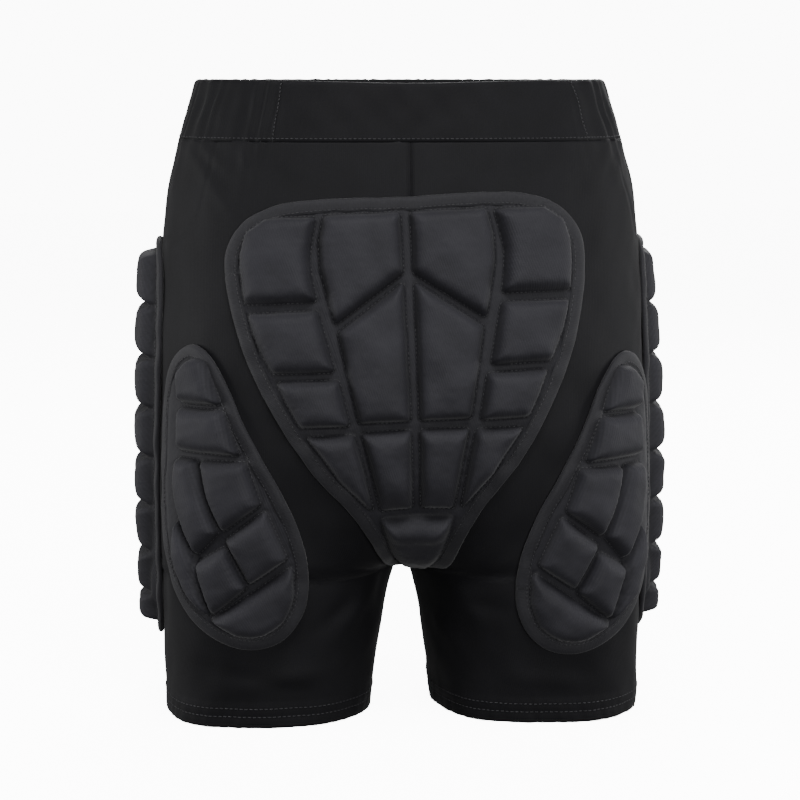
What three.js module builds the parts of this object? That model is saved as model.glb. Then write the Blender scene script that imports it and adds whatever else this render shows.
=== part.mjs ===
/*
 * Padded impact shorts, a base layer for skiing and snowboarding. Millimetres.
 * +X is the wearer's right, +Y the wearer's front and +Z up. The origin is on the floor under the
 * middle of the garment, which stands on its two leg hems as it does on a display form.
 *
 * Every pad is a backing panel with foam blocks on it. A pad is drawn flat, as seen square from
 * the rear or from the side, and is then laid on the body's surface.
 */
import * as THREE from 'three';
import { mergeVertices } from 'three/addons/utils/BufferGeometryUtils.js';

// Lengths of the garment, from the floor up.
const INSEAM = 102; // hem to crotch
const RISE = 297; // crotch to the waist seam
const WAISTBAND_HEIGHT = 41;
const SHELL_SPLIT_ABOVE_CROTCH = 190; // where the hip shells meet the leg shells

// Widths across the whole garment.
const WAIST_WIDTH = 284;
const WAIST_SEAM_WIDTH = 307;
const HIP_WIDTH = 330;
const THIGH_WIDTH = 341;
const HEM_WIDTH = 334;

// Depths behind and in front of the side line.
const WAIST_REAR = 88;
const SEAT_REAR = 120;
const THIGH_REAR = 100;
const HEM_REAR = 84;
const WAIST_FRONT = 84;
const BELLY_FRONT = 94;
const THIGH_FRONT = 92;
const HEM_FRONT = 82;

// Where the hips are widest and deepest, above the crotch.
const SEAT_ABOVE_CROTCH = 130;
const HIP_ABOVE_CROTCH = 238;

// Form of the horizontal sections: 2 is an ellipse, and more is squarer.
const WAIST_SQUARENESS = 2.3;
const HIP_SQUARENESS = 2.5;
const LEG_SQUARENESS = 2.8;

// Crotch: half of the gap between the legs at the hem, how fast it closes, and the two curves
// that carry the seat under the body and across from leg to leg.
const HEM_HALF_GAP = 22;
const GAP_POWER = 0.5;
const CROTCH_CURVE = 130; // height over which the seat turns under
const CROTCH_POWER = 4.2; // how late it turns
const CENTRE_EASE = 30;

// Cloth, foam and clearances.
const SHELL_WALL = 2;
const CLOTH_GAP = 0.3;
const CASING_WALL = 1.2;
const ELASTIC_THICKNESS = 1.5;
const PAD_LIFT = 0.9; // pad backing above the shell
const SEAT_BRIDGE = 4; // how far the seat pad's lower end bridges the cleft between the legs
const BACKING_THICKNESS = 2;
const FOAM_GAP = 0.8; // foam block above its backing
const TAIL_BLOCK_LIFT = 0.8; // the tail block bridges the cleft a little more than its backing
const FOAM_THICKNESS = 12.5;
const FOAM_BEVEL = 3;

// The waistband's flat rear section reaches this far to each side of the rear seam.
const REAR_BAND_LEFT = 92;
const REAR_BAND_RIGHT = 122;

// The seat pad is sewn with a slight lean about the middle of its height.
const SEAT_PAD_LEAN = THREE.MathUtils.degToRad(2.3);
const SEAT_PAD_MIDDLE = 250;

// The right thigh pad sits a little lower and further out than the left.
const RIGHT_THIGH_PAD_DROP = 7;
const RIGHT_THIGH_PAD_OUTSET = 3;

// Side pads: one column of blocks, from the top down.
const SIDE_PAD_TOP = 320;
const SIDE_BLOCK_HEIGHTS = [36, 36, 35, 34, 34, 33, 31, 21];
const SIDE_BLOCK_HALF_WIDTHS = [23, 28, 30, 30, 30, 29, 26, 19];
const SIDE_BLOCK_GAP = 5;
const SIDE_BLOCK_CROWN = 3; // how much a block's upper and lower edges bow
const SIDE_BACKING_MARGIN = 10;
const SIDE_PAD_EXTRA_LIFT = 0.3; // the long side pad bridges the hollow of the waist

// The size the pads are drawn for. Their outlines are graded from it to the garment's own size.
const DRAWN_WIDTH = 338;
const DRAWN_INSEAM = 102;
const DRAWN_RISE = 297;

const WAIST_SEAM_Z = INSEAM + RISE;
const TOP_Z = WAIST_SEAM_Z + WAISTBAND_HEIGHT;
const SEAT_Z = INSEAM + CROTCH_CURVE; // where the seat starts to curve under
const SPLIT_Z = INSEAM + SHELL_SPLIT_ABOVE_CROTCH;
const FOAM_BASE = PAD_LIFT + BACKING_THICKNESS + FOAM_GAP;
const FOAM_TOP = FOAM_BASE + FOAM_THICKNESS;
const BAND_THICKNESS = 2 * CASING_WALL + ELASTIC_THICKNESS + 2 * CLOTH_GAP;

// ---------------------------------------------------------------- body surface

// A smooth curve of a size against height, through [height, size] knots.
function profile(knots) {
  const slope = knots.map((knot, i) => {
    const before = knots[Math.max(i - 1, 0)];
    const after = knots[Math.min(i + 1, knots.length - 1)];
    return (after[1] - before[1]) / (after[0] - before[0]);
  });
  return (z) => {
    let i = 0;
    while (i < knots.length - 2 && z > knots[i + 1][0]) i += 1;
    const [z0, v0] = knots[i];
    const [z1, v1] = knots[i + 1];
    const span = z1 - z0;
    const t = THREE.MathUtils.clamp((z - z0) / span, 0, 1);
    const curve = (2 * t ** 3 - 3 * t ** 2 + 1) * v0 + (3 * t ** 2 - 2 * t ** 3) * v1;
    return curve + ((t ** 3 - 2 * t ** 2 + t) * slope[i] + (t ** 3 - t ** 2) * slope[i + 1]) * span;
  };
}

const HIP_Z = INSEAM + HIP_ABOVE_CROTCH;
const BUTTOCK_Z = INSEAM + SEAT_ABOVE_CROTCH;
const THIGH_Z = INSEAM + 0.5 * SEAT_ABOVE_CROTCH;

const halfWidthAt = profile([
  [0, HEM_WIDTH / 2],
  [THIGH_Z, THIGH_WIDTH / 2],
  [HIP_Z, HIP_WIDTH / 2],
  [WAIST_SEAM_Z, WAIST_SEAM_WIDTH / 2],
  [TOP_Z, WAIST_WIDTH / 2],
]);
const rearAt = profile([
  [0, HEM_REAR],
  [INSEAM, THIGH_REAR],
  [BUTTOCK_Z, SEAT_REAR],
  [HIP_Z, (SEAT_REAR + WAIST_REAR) / 2],
  [TOP_Z, WAIST_REAR],
]);
const frontAt = profile([
  [0, HEM_FRONT],
  [INSEAM, THIGH_FRONT],
  [HIP_Z, BELLY_FRONT],
  [TOP_Z, WAIST_FRONT],
]);
const squarenessAt = profile([
  [0, LEG_SQUARENESS],
  [INSEAM, LEG_SQUARENESS],
  [HIP_Z, HIP_SQUARENESS],
  [TOP_Z, WAIST_SQUARENESS],
]);

// The level section of one half of the body at height z, set in from the surface by inset.
// Across the garment it is worked out in eased widths, hypot(x, CENTRE_EASE), which rounds the
// change from one leg to the other at the centre.
function sectionAt(z, inset = 0) {
  const power = squarenessAt(z);
  const outer = Math.hypot(halfWidthAt(z) - inset, CENTRE_EASE);
  const under = THREE.MathUtils.clamp((SEAT_Z - z) / (CROTCH_CURVE - inset), 0, 1);
  const depthShare = Math.sqrt(1 - under ** CROTCH_POWER);
  const section = { power, rear: rearAt(z) - inset, front: frontAt(z) - inset };
  if (depthShare === 0) {
    const closing = Math.max(1 - z / INSEAM, 0) ** GAP_POWER;
    const inner = Math.hypot(HEM_HALF_GAP * closing + inset, CENTRE_EASE);
    section.half = (outer - inner) / 2;
    section.middle = (outer + inner) / 2;
    section.end = Math.PI;
  } else {
    const reach = (1 - depthShare ** power) ** (1 / power);
    section.half = (outer - CENTRE_EASE) / (1 + reach);
    section.middle = outer - section.half;
    section.end = Math.PI - Math.atan2(depthShare, reach);
  }
  return section;
}

// A point of a section: angle 0 is the outer side, negative is the rear, positive the front.
function sectionPoint(section, angle) {
  const c = Math.cos(angle);
  const s = Math.sin(angle);
  const radius = (Math.abs(c) ** section.power + Math.abs(s) ** section.power) ** (-1 / section.power);
  const eased = section.middle + section.half * radius * c;
  const x = Math.sqrt(Math.max(eased * eased - CENTRE_EASE * CENTRE_EASE, 0));
  return [x, (s < 0 ? section.rear : section.front) * radius * s];
}

// Negative inside the body and positive outside it.
function bodyField(x, y, z) {
  const section = sectionAt(z);
  const across = (Math.hypot(x, CENTRE_EASE) - section.middle) / section.half;
  const along = y / (y < 0 ? section.rear : section.front);
  return Math.abs(across) ** section.power + Math.abs(along) ** section.power - 1;
}

function bodyNormal(x, y, z) {
  const step = 0.5;
  return new THREE.Vector3(
    bodyField(x + step, y, z) - bodyField(x - step, y, z),
    bodyField(x, y + step, z) - bodyField(x, y - step, z),
    bodyField(x, y, z + step) - bodyField(x, y, z - step),
  ).normalize();
}

function lifted(x, y, z, height) {
  return new THREE.Vector3(x, y, z).addScaledVector(bodyNormal(x, y, z), height);
}

// The value between low and high where test turns from true to false.
function turningPoint(low, high, test) {
  for (let i = 0; i < 40; i += 1) {
    const middle = (low + high) / 2;
    if (test(middle)) low = middle;
    else high = middle;
  }
  return (low + high) / 2;
}

// ---------------------------------------------------------------- laying a pad on the body

const gradeZ = (z) => (z < DRAWN_INSEAM
  ? (z * INSEAM) / DRAWN_INSEAM
  : INSEAM + ((z - DRAWN_INSEAM) * RISE) / DRAWN_RISE);
const gradeX = (x, z) => (x * 2 * halfWidthAt(z)) / DRAWN_WIDTH;

// The seat pad hangs straight down the rear to the height of FAN_Z, and from there it fans round
// under the seat: below FAN_Z a drawn height is a length along that curve.
const SEAT_FAN_RADIUS = 100;
const FAN_Z = INSEAM + 88;

function onSeat(x, height, lift) {
  if (height >= FAN_Z) {
    const y = -turningPoint(0, 2 * SEAT_REAR, (depth) => bodyField(x, -depth, height) < 0);
    return lifted(x, y, height, lift);
  }
  const turn = (FAN_Z - height) / SEAT_FAN_RADIUS;
  const reach = turningPoint(0, 2 * SEAT_REAR, (r) => (
    bodyField(x, -r * Math.cos(turn), FAN_Z - r * Math.sin(turn)) < 0));
  const bridge = SEAT_BRIDGE * Math.sin(turn);
  return lifted(x, -reach * Math.cos(turn), FAN_Z - reach * Math.sin(turn), lift + bridge);
}

// Drawn points of the seat pad, leaned and graded, as seen from the rear at the given lift.
function seatPattern(x, z, lift) {
  const up = z - SEAT_PAD_MIDDLE;
  const leanedX = x * Math.cos(SEAT_PAD_LEAN) - up * Math.sin(SEAT_PAD_LEAN);
  const leanedZ = x * Math.sin(SEAT_PAD_LEAN) + up * Math.cos(SEAT_PAD_LEAN) + SEAT_PAD_MIDDLE;
  const height = gradeZ(leanedZ);
  const seenX = gradeX(leanedX, height);
  const side = Math.sign(seenX);
  const base = turningPoint(0, Math.abs(seenX), (trial) => (
    side * onSeat(side * trial, height, lift).x < Math.abs(seenX)));
  return [side * base, height];
}

// Around a leg, a place is its length along the level section from the outer side line:
// positive lengths go to the rear and negative ones to the front.
const ARC_STEPS = 120;
const arcTables = new Map();

function arcTable(z) {
  const key = z.toFixed(3);
  if (!arcTables.has(key)) {
    const section = sectionAt(z);
    const walk = (direction) => {
      let last = sectionPoint(section, 0);
      const lengths = [0];
      for (let i = 1; i <= ARC_STEPS; i += 1) {
        const next = sectionPoint(section, (direction * section.end * i) / ARC_STEPS);
        lengths.push(lengths[i - 1] + Math.hypot(next[0] - last[0], next[1] - last[1]));
        last = next;
      }
      return lengths;
    };
    arcTables.set(key, { section, rear: walk(-1), front: walk(1) });
  }
  return arcTables.get(key);
}

function onLeg(length, z, lift) {
  const table = arcTable(z);
  const lengths = length > 0 ? table.rear : table.front;
  const wanted = Math.abs(length);
  let i = 0;
  while (i < ARC_STEPS - 1 && lengths[i + 1] < wanted) i += 1;
  const share = (i + (wanted - lengths[i]) / (lengths[i + 1] - lengths[i])) / ARC_STEPS;
  const angle = (length > 0 ? -1 : 1) * share * table.section.end;
  const [x, y] = sectionPoint(table.section, angle);
  return lifted(x, y, z, lift);
}

// Drawn points of a thigh pad, as seen from the rear at the given lift.
function thighPattern(side) {
  const drop = side > 0 ? RIGHT_THIGH_PAD_DROP : 0;
  const outset = side > 0 ? RIGHT_THIGH_PAD_OUTSET : 0;
  return (x, z, lift) => {
    const height = gradeZ(z - drop);
    const seenX = gradeX(x + outset, height);
    const limit = 0.98 * arcTable(height).rear[ARC_STEPS];
    const length = turningPoint(0, limit, (trial) => onLeg(trial, height, lift).x > seenX);
    return [length, height];
  };
}

const sidePattern = (length, z) => [length, gradeZ(z)];

// ---------------------------------------------------------------- solids

function meshGeometry(triangles, mirrored) {
  const positions = new Float32Array(triangles.flat().flatMap((p) => (
    [mirrored ? -p.x : p.x, p.y, p.z])));
  let volume = 0;
  const [a, b, c] = [new THREE.Vector3(), new THREE.Vector3(), new THREE.Vector3()];
  for (let i = 0; i < positions.length; i += 9) {
    a.fromArray(positions, i);
    b.fromArray(positions, i + 3);
    c.fromArray(positions, i + 6);
    volume += a.dot(b.cross(c));
  }
  if (volume < 0) {
    for (let i = 0; i < positions.length; i += 9) {
      for (let k = 0; k < 3; k += 1) {
        const keep = positions[i + 3 + k];
        positions[i + 3 + k] = positions[i + 6 + k];
        positions[i + 6 + k] = keep;
      }
    }
  }
  const geometry = new THREE.BufferGeometry();
  geometry.setAttribute('position', new THREE.BufferAttribute(positions, 3));
  const merged = mergeVertices(geometry, 1e-4);
  merged.computeVertexNormals();
  return merged;
}

const quad = (a, b, c, d) => [[a, b, c], [a, c, d]];

// Points along an outline given as four sides. A side starts at its own corner and may pass
// through more points on its way to the next side's corner.
function sampleSides(sides, perSide) {
  return sides.flatMap((side, i) => {
    const corners = [...side, sides[(i + 1) % 4][0]].map(([x, z]) => new THREE.Vector3(x, z, 0));
    const curve = new THREE.CatmullRomCurve3(corners, false, 'centripetal');
    return curve.getSpacedPoints(perSide).slice(0, perSide);
  });
}

// The same for a smooth closed outline.
function sampleLoop(points, perSide) {
  const knots = points.map(([x, z]) => new THREE.Vector3(x, z, 0));
  const curve = new THREE.CatmullRomCurve3(knots, true, 'centripetal');
  return curve.getSpacedPoints(4 * perSide).slice(0, 4 * perSide);
}

// The outline moved towards its centre by a distance.
function insetLoop(loop, centre, distance) {
  return loop.map((p) => p.clone().lerp(centre, distance / p.distanceTo(centre)));
}

// A closed pad between layers of one outline, each { lift, inset }, with a square grid of 2n by
// 2n cells across its bottom and its top, so that it can follow the body.
function padTriangles(loop, layers, place) {
  const n = loop.length / 8;
  const centre = loop.reduce((sum, p) => sum.add(p), new THREE.Vector3()).divideScalar(loop.length);
  const rings = layers.map((layer) => insetLoop(loop, centre, layer.inset));
  const ringPoint = (ring, position) => {
    const i = Math.floor(position) % ring.length;
    return ring[i].clone().lerp(ring[(i + 1) % ring.length], position - Math.floor(position));
  };
  const gridPoint = (ring, lift, p, q) => {
    const r = Math.max(Math.abs(p), Math.abs(q));
    if (r === 0) return place(centre.x, centre.y, lift);
    let step = 6 * r + (r - q);
    if (q === -r) step = p + r;
    else if (p === r) step = 2 * r + (q + r);
    else if (q === r) step = 4 * r + (r - p);
    const edge = ringPoint(ring, ((step * n) / r) % ring.length);
    const flat = centre.clone().lerp(edge, r / n);
    return place(flat.x, flat.y, lift);
  };
  const triangles = [];
  for (const index of [0, layers.length - 1]) {
    const grid = [];
    for (let p = -n; p <= n; p += 1) {
      grid.push([]);
      for (let q = -n; q <= n; q += 1) {
        grid[p + n].push(gridPoint(rings[index], layers[index].lift, p, q));
      }
    }
    for (let i = 0; i < 2 * n; i += 1) {
      for (let j = 0; j < 2 * n; j += 1) {
        const corners = [grid[i][j], grid[i + 1][j], grid[i + 1][j + 1], grid[i][j + 1]];
        triangles.push(...quad(...(index === 0 ? corners.reverse() : corners)));
      }
    }
  }
  for (let k = 0; k < layers.length - 1; k += 1) {
    for (let i = 0; i < loop.length; i += 1) {
      const j = (i + 1) % loop.length;
      const at = (layer, m) => place(rings[layer][m].x, rings[layer][m].y, layers[layer].lift);
      triangles.push(...quad(at(k, i), at(k, j), at(k + 1, j), at(k + 1, i)));
    }
  }
  return triangles;
}

// A sheet of body shell between two lists of rows, its outside and its inside. Rows up to
// closedRows are whole rings around a leg, and later ones are open at the centre seam.
function shellTriangles(heights, closedRows, columns, wall) {
  const row = (z, inset) => {
    const section = sectionAt(z, inset);
    return Array.from({ length: columns + 1 }, (_, j) => {
      const [x, y] = sectionPoint(section, section.end * ((2 * j) / columns - 1));
      return new THREE.Vector3(Math.max(x, CLOTH_GAP / 2), y, z);
    });
  };
  const outside = heights.map((z) => row(z, 0));
  const inside = heights.map((z) => row(z, wall));
  const last = heights.length - 1;
  const triangles = [];
  for (let i = 0; i < last; i += 1) {
    for (let j = 0; j < columns; j += 1) {
      const [o, u] = [outside[i], outside[i + 1]];
      const [p, v] = [inside[i], inside[i + 1]];
      triangles.push(...quad(o[j], o[j + 1], u[j + 1], u[j]), ...quad(p[j + 1], p[j], v[j], v[j + 1]));
    }
    if (i >= closedRows - 1) {
      for (const j of [0, columns]) {
        const edge = [outside[i][j], outside[i + 1][j], inside[i + 1][j], inside[i][j]];
        triangles.push(...quad(...(j === 0 ? edge : edge.reverse())));
      }
    }
  }
  for (const i of [0, last]) {
    for (let j = 0; j < columns; j += 1) {
      const edge = [outside[i][j + 1], outside[i][j], inside[i][j], inside[i][j + 1]];
      triangles.push(...quad(...(i === 0 ? edge : edge.reverse())));
    }
  }
  return triangles;
}

// A band that runs around the waist from one angle to another. Angle 0 is the rear centre and
// positive angles go round by the right. The outer profile is a list of [inset, z], and a second
// profile of the same length makes a tunnel through the band.
function bandTriangles(from, to, columns, profilePoints, tunnel) {
  const ring = (angle, points) => points.map(([inset, z]) => {
    const [x, y] = sectionPoint(sectionAt(z, inset), Math.abs(angle) - Math.PI / 2);
    return new THREE.Vector3(angle < 0 ? -x : x, y, z);
  });
  const angles = Array.from({ length: columns + 1 }, (_, i) => {
    const angle = from + ((to - from) * i) / columns;
    return angle > Math.PI ? angle - 2 * Math.PI : angle;
  });
  const outer = angles.map((angle) => ring(angle, profilePoints));
  const count = profilePoints.length;
  const triangles = [];
  for (let i = 0; i < columns; i += 1) {
    for (let k = 0; k < count; k += 1) {
      const m = (k + 1) % count;
      triangles.push(...quad(outer[i][k], outer[i + 1][k], outer[i + 1][m], outer[i][m]));
    }
  }
  if (!tunnel) {
    for (const i of [0, columns]) {
      const end = i === 0 ? outer[i] : [...outer[i]].reverse();
      triangles.push(...quad(...end));
    }
    return triangles;
  }
  const inner = angles.map((angle) => ring(angle, tunnel));
  for (let k = 0; k < count; k += 1) {
    const m = (k + 1) % count;
    for (let i = 0; i < columns; i += 1) {
      triangles.push(...quad(inner[i][m], inner[i + 1][m], inner[i + 1][k], inner[i][k]));
    }
    const [start, end] = [0, columns];
    triangles.push(...quad(outer[start][k], outer[start][m], inner[start][m], inner[start][k]));
    triangles.push(...quad(outer[end][m], outer[end][k], inner[end][k], inner[end][m]));
  }
  return triangles;
}

// ---------------------------------------------------------------- materials and the group

const cloth = (color, roughness) => () => new THREE.MeshStandardMaterial({
  color, roughness, metalness: 0,
});
const SHELL_CLOTH = cloth(0x222226, 0.85);
const BAND_CLOTH = cloth(0x1f1e23, 0.8);
const BACKING_CLOTH = cloth(0x2a292e, 0.85);
const PAD_CLOTH = cloth(0x37363c, 0.75);
const ELASTIC_CLOTH = cloth(0x151517, 0.9);

const shorts = new THREE.Group();

function addMesh(name, triangles, material, mirrored = false) {
  const mesh = new THREE.Mesh(meshGeometry(triangles, mirrored), material());
  mesh.name = name;
  shorts.add(mesh);
}

const SIDES = [['left', true], ['right', false]];

// ---------------------------------------------------------------- shell and waistband

const SHELL_COLUMNS = 28;
const HIP_COLUMNS = 20;
const CROTCH_STEPS = 6;

function legHeights() {
  const legRows = [0, 0.28, 0.54, 0.76, 0.9, 0.97, 1].map((share) => share * INSEAM);
  const crotchRows = Array.from({ length: CROTCH_STEPS }, (_, i) => (
    INSEAM + CROTCH_CURVE * ((i + 1) / CROTCH_STEPS) ** 2));
  const hipRows = [0.5, 1].map((share) => SEAT_Z + (SPLIT_Z - SEAT_Z) * share);
  return { heights: [...legRows, ...crotchRows, ...hipRows], closedRows: legRows.length };
}

function addShells() {
  const { heights, closedRows } = legHeights();
  const hipBottom = SPLIT_Z + CLOTH_GAP;
  const hipTop = WAIST_SEAM_Z - CLOTH_GAP;
  const hipHeights = [0, 0.33, 0.66, 1].map((share) => hipBottom + share * (hipTop - hipBottom));
  for (const [side, mirrored] of SIDES) {
    const leg = shellTriangles(heights, closedRows, SHELL_COLUMNS, SHELL_WALL);
    addMesh(`shell_leg_${side}`, leg, SHELL_CLOTH, mirrored);
    const hip = shellTriangles(hipHeights, 0, HIP_COLUMNS, SHELL_WALL);
    addMesh(`shell_hip_${side}`, hip, SHELL_CLOTH, mirrored);
  }
}

function addWaistband() {
  const box = (inset, z0, z1) => [
    [inset, z0], [inset, z1], [BAND_THICKNESS - inset, z1], [BAND_THICKNESS - inset, z0],
  ];
  const middle = sectionAt((WAIST_SEAM_Z + TOP_Z) / 2);
  const angleAt = (x) => turningPoint(0, Math.PI / 2, (angle) => (
    sectionPoint(middle, angle - Math.PI / 2)[0] < gradeX(x, (WAIST_SEAM_Z + TOP_Z) / 2)));
  const left = -angleAt(REAR_BAND_LEFT);
  const right = angleAt(REAR_BAND_RIGHT);
  const gap = CLOTH_GAP / WAIST_REAR;
  const tunnelInset = CASING_WALL;
  const elasticInset = CASING_WALL + CLOTH_GAP;
  const outer = box(0, WAIST_SEAM_Z, TOP_Z);
  const tunnel = box(tunnelInset, WAIST_SEAM_Z + tunnelInset, TOP_Z - tunnelInset);
  const strip = box(elasticInset, WAIST_SEAM_Z + elasticInset, TOP_Z - elasticInset);
  const [from, to] = [right + gap, left - gap + 2 * Math.PI];
  addMesh('waistband_back', bandTriangles(left, right, 14, outer), BAND_CLOTH);
  addMesh('waistband_casing', bandTriangles(from, to, 34, outer, tunnel), BAND_CLOTH);
  addMesh('waist_elastic', bandTriangles(from, to, 34, strip), ELASTIC_CLOTH);
}

// ---------------------------------------------------------------- pads

const BACKING_LAYERS = [
  { lift: PAD_LIFT, inset: 0 },
  { lift: PAD_LIFT + BACKING_THICKNESS, inset: 0 },
];
const FOAM_LAYERS = [
  { lift: FOAM_BASE, inset: 0 },
  { lift: FOAM_TOP - FOAM_BEVEL, inset: 0 },
  { lift: FOAM_TOP, inset: FOAM_BEVEL },
];
const BLOCK_GRID = 2;
const FINE_GRID = 3; // for the blocks that bend most

function addBacking(name, outline, grid, pattern, place, mirrored) {
  const seen = outline.map(([x, z]) => pattern(x, z, PAD_LIFT + BACKING_THICKNESS));
  const loop = sampleLoop(seen, 2 * grid);
  addMesh(name, padTriangles(loop, BACKING_LAYERS, place), BACKING_CLOTH, mirrored);
}

function addBlock(name, sides, pattern, place, mirrored, grid = BLOCK_GRID) {
  const seen = sides.map((side) => side.map(([x, z]) => pattern(x, z, FOAM_TOP - FOAM_BEVEL)));
  const loop = sampleSides(seen, 2 * grid);
  addMesh(name, padTriangles(loop, FOAM_LAYERS, place), PAD_CLOTH, mirrored);
}

// Seat pad, drawn on its right half; the left half is its mirror image about the pad's own centre.
// The drawn heights under the seat are lengths along the curve, as onSeat reads them.
const SEAT_HALF_OUTLINE = [
  [0, 361], [50, 362], [88, 359], [109, 349], [120, 331], [120, 311], [114, 281], [106, 256],
  [92, 226], [69, 188], [41, 157], [28, 130], [20, 100], [11, 82],
];
const SEAT_TAIL = [0, 78];
const SEAT_HALF_BLOCKS = {
  upper_outer: [
    [[62, 351], [80, 351.5]], [[97, 351], [109, 344], [114, 330]], [[111, 297]],
    [[63, 297.5], [67, 323]],
  ],
  upper_inner: [
    [[4, 352]], [[55.5, 352], [59.5, 327]], [[50, 282.5]], [[3.8, 313]],
  ],
  middle_outer: [
    [[62, 290.5]], [[109, 289.5], [102.5, 270]], [[93, 252]], [[52.5, 252]],
  ],
  long_inner: [
    [[4, 306]], [[48, 276]], [[36.5, 218]], [[3.4, 218]],
  ],
  lower_outer: [
    [[49.5, 245.5]], [[90, 245.5], [83, 230]], [[75.5, 216.5]], [[43.5, 216.5]],
  ],
  tail_outer: [
    [[40.5, 209.5]], [[71, 209]], [[50, 181]], [[30, 161], [34.5, 185]],
  ],
  tail_inner: [
    [[3.4, 211]], [[34.5, 210.5]], [[24, 160.5]], [[3.4, 161.5]],
  ],
};
const SEAT_TAIL_BLOCK = [
  [[-24, 154], [0, 154.5]], [[24, 154], [18, 125]], [[11, 99], [0, 96]], [[-11, 99], [-18, 125]],
];

const mirrorSides = (sides) => {
  const points = sides.map((side) => side.map(([x, z]) => [-x, z]));
  return [0, 1, 2, 3].map((i) => {
    const side = points[3 - i];
    const start = points[(4 - i) % 4][0];
    return [start, ...side.slice(1).reverse()];
  });
};

function addSeatPad() {
  const mirrored = SEAT_HALF_OUTLINE.slice(1).reverse().map(([x, z]) => [-x, z]);
  const outline = [...SEAT_HALF_OUTLINE, SEAT_TAIL, ...mirrored];
  addBacking('seat_pad_backing', outline, 8, seatPattern, onSeat, false);
  for (const [name, sides] of Object.entries(SEAT_HALF_BLOCKS)) {
    addBlock(`seat_block_${name}_left`, mirrorSides(sides), seatPattern, onSeat, false);
    addBlock(`seat_block_${name}_right`, sides, seatPattern, onSeat, false);
  }
  const raised = (x, z, lift) => onSeat(x, z, lift + TAIL_BLOCK_LIFT);
  addBlock('seat_block_tail', SEAT_TAIL_BLOCK, seatPattern, raised, false, FINE_GRID);
}

// Thigh pad, drawn on the left leg as distances out from the garment's centre.
const THIGH_OUTLINE = [
  [143, 264], [129, 250], [112, 214], [96, 184], [81, 156], [70, 120], [71, 88], [88, 64],
  [113, 59], [139, 71], [158, 97], [164, 127], [165, 160], [164, 194], [163, 224], [158, 251],
];
const THIGH_BLOCKS = {
  top: [[[142, 253.5], [136, 240]], [[131, 227]], [[158, 226.5]], [[159, 244], [151, 254]]],
  upper: [[[128.5, 221]], [[117, 194.5]], [[158.5, 194.5]], [[157.5, 221]]],
  middle_inner: [[[112, 188]], [[102, 161.5]], [[127, 143], [137, 163]], [[142.5, 187]]],
  middle_outer: [
    [[147, 187], [140, 160]], [[131.5, 141.5]], [[146.5, 125.5], [157, 149], [160.5, 170]],
    [[159.5, 187]],
  ],
  lower_inner: [[[97.5, 155.5]], [[83.5, 124]], [[108, 107]], [[123.5, 135.5]]],
  lower_outer: [[[126, 130]], [[111, 104]], [[135.5, 84.5], [141.5, 100]], [[146.5, 117.5]]],
  bottom: [
    [[79, 116.5]], [[78.5, 96], [86, 79]], [[100, 70], [116, 69]], [[135.5, 79.5], [107, 97]],
  ],
  outer_edge: [
    [[160.5, 145], [153, 132]], [[148, 119.5], [144, 100]], [[138.5, 83]], [[155, 100], [161, 124]],
  ],
};

function addThighPads() {
  for (const [side, mirrored] of SIDES) {
    const pattern = thighPattern(mirrored ? -1 : 1);
    addBacking(`thigh_pad_backing_${side}`, THIGH_OUTLINE, 6, pattern, onLeg, mirrored);
    for (const [name, sides] of Object.entries(THIGH_BLOCKS)) {
      const grid = name === 'upper' ? FINE_GRID : BLOCK_GRID;
      addBlock(`thigh_block_${name}_${side}`, sides, pattern, onLeg, mirrored, grid);
    }
  }
}

function sideBlocks() {
  let top = SIDE_PAD_TOP;
  return SIDE_BLOCK_HEIGHTS.map((height, i) => {
    const upper = SIDE_BLOCK_HALF_WIDTHS[i];
    const lower = SIDE_BLOCK_HALF_WIDTHS[Math.min(i + 1, SIDE_BLOCK_HEIGHTS.length - 1)];
    const high = top - SIDE_BLOCK_GAP / 2;
    const low = top - height + SIDE_BLOCK_GAP / 2;
    top -= height;
    return [
      [[upper, high], [0, high + SIDE_BLOCK_CROWN]], [[-upper, high]],
      [[-lower, low], [0, low + SIDE_BLOCK_CROWN]], [[lower, low]],
    ];
  });
}

function sideOutline() {
  const total = SIDE_BLOCK_HEIGHTS.reduce((sum, height) => sum + height, 0);
  const widest = Math.max(...SIDE_BLOCK_HALF_WIDTHS) + SIDE_BACKING_MARGIN;
  const top = SIDE_PAD_TOP + SIDE_BACKING_MARGIN;
  const bottom = SIDE_PAD_TOP - total - SIDE_BACKING_MARGIN;
  const half = [
    [0, top], [0.6 * widest, top - 6], [0.9 * widest, top - 26], [widest, top - 70],
    [widest, (top + bottom) / 2], [widest, bottom + 80], [0.86 * widest, bottom + 28],
    [0.55 * widest, bottom + 6], [0, bottom],
  ];
  return [...half, ...half.slice(1, -1).reverse().map(([x, z]) => [-x, z])];
}

function addSidePads() {
  const onSide = (length, z, lift) => onLeg(length, z, lift + SIDE_PAD_EXTRA_LIFT);
  for (const [side, mirrored] of SIDES) {
    addBacking(`side_pad_backing_${side}`, sideOutline(), 5, sidePattern, onSide, mirrored);
    sideBlocks().forEach((sides, i) => {
      addBlock(`side_block_${i + 1}_${side}`, sides, sidePattern, onSide, mirrored);
    });
  }
}

addShells();
addWaistband();
addSeatPad();
addThighPads();
addSidePads();

// The origin is under the middle of everything, pads included.
const whole = new THREE.Box3().setFromObject(shorts);
shorts.position.y = -(whole.min.y + whole.max.y) / 2;

export default shorts;
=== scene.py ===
"""Looks of the padded impact shorts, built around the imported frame. Metres throughout.

The CAD shell gives the form of the body. Each pad is quilted on a chart of that form: a table of
places over two flat coordinates, on which the cover, the bound edge and the stitches are drawn.
"""

import math

import bpy
import numpy as np
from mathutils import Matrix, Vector
from mathutils.bvhtree import BVHTree
from mathutils.kdtree import KDTree


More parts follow.
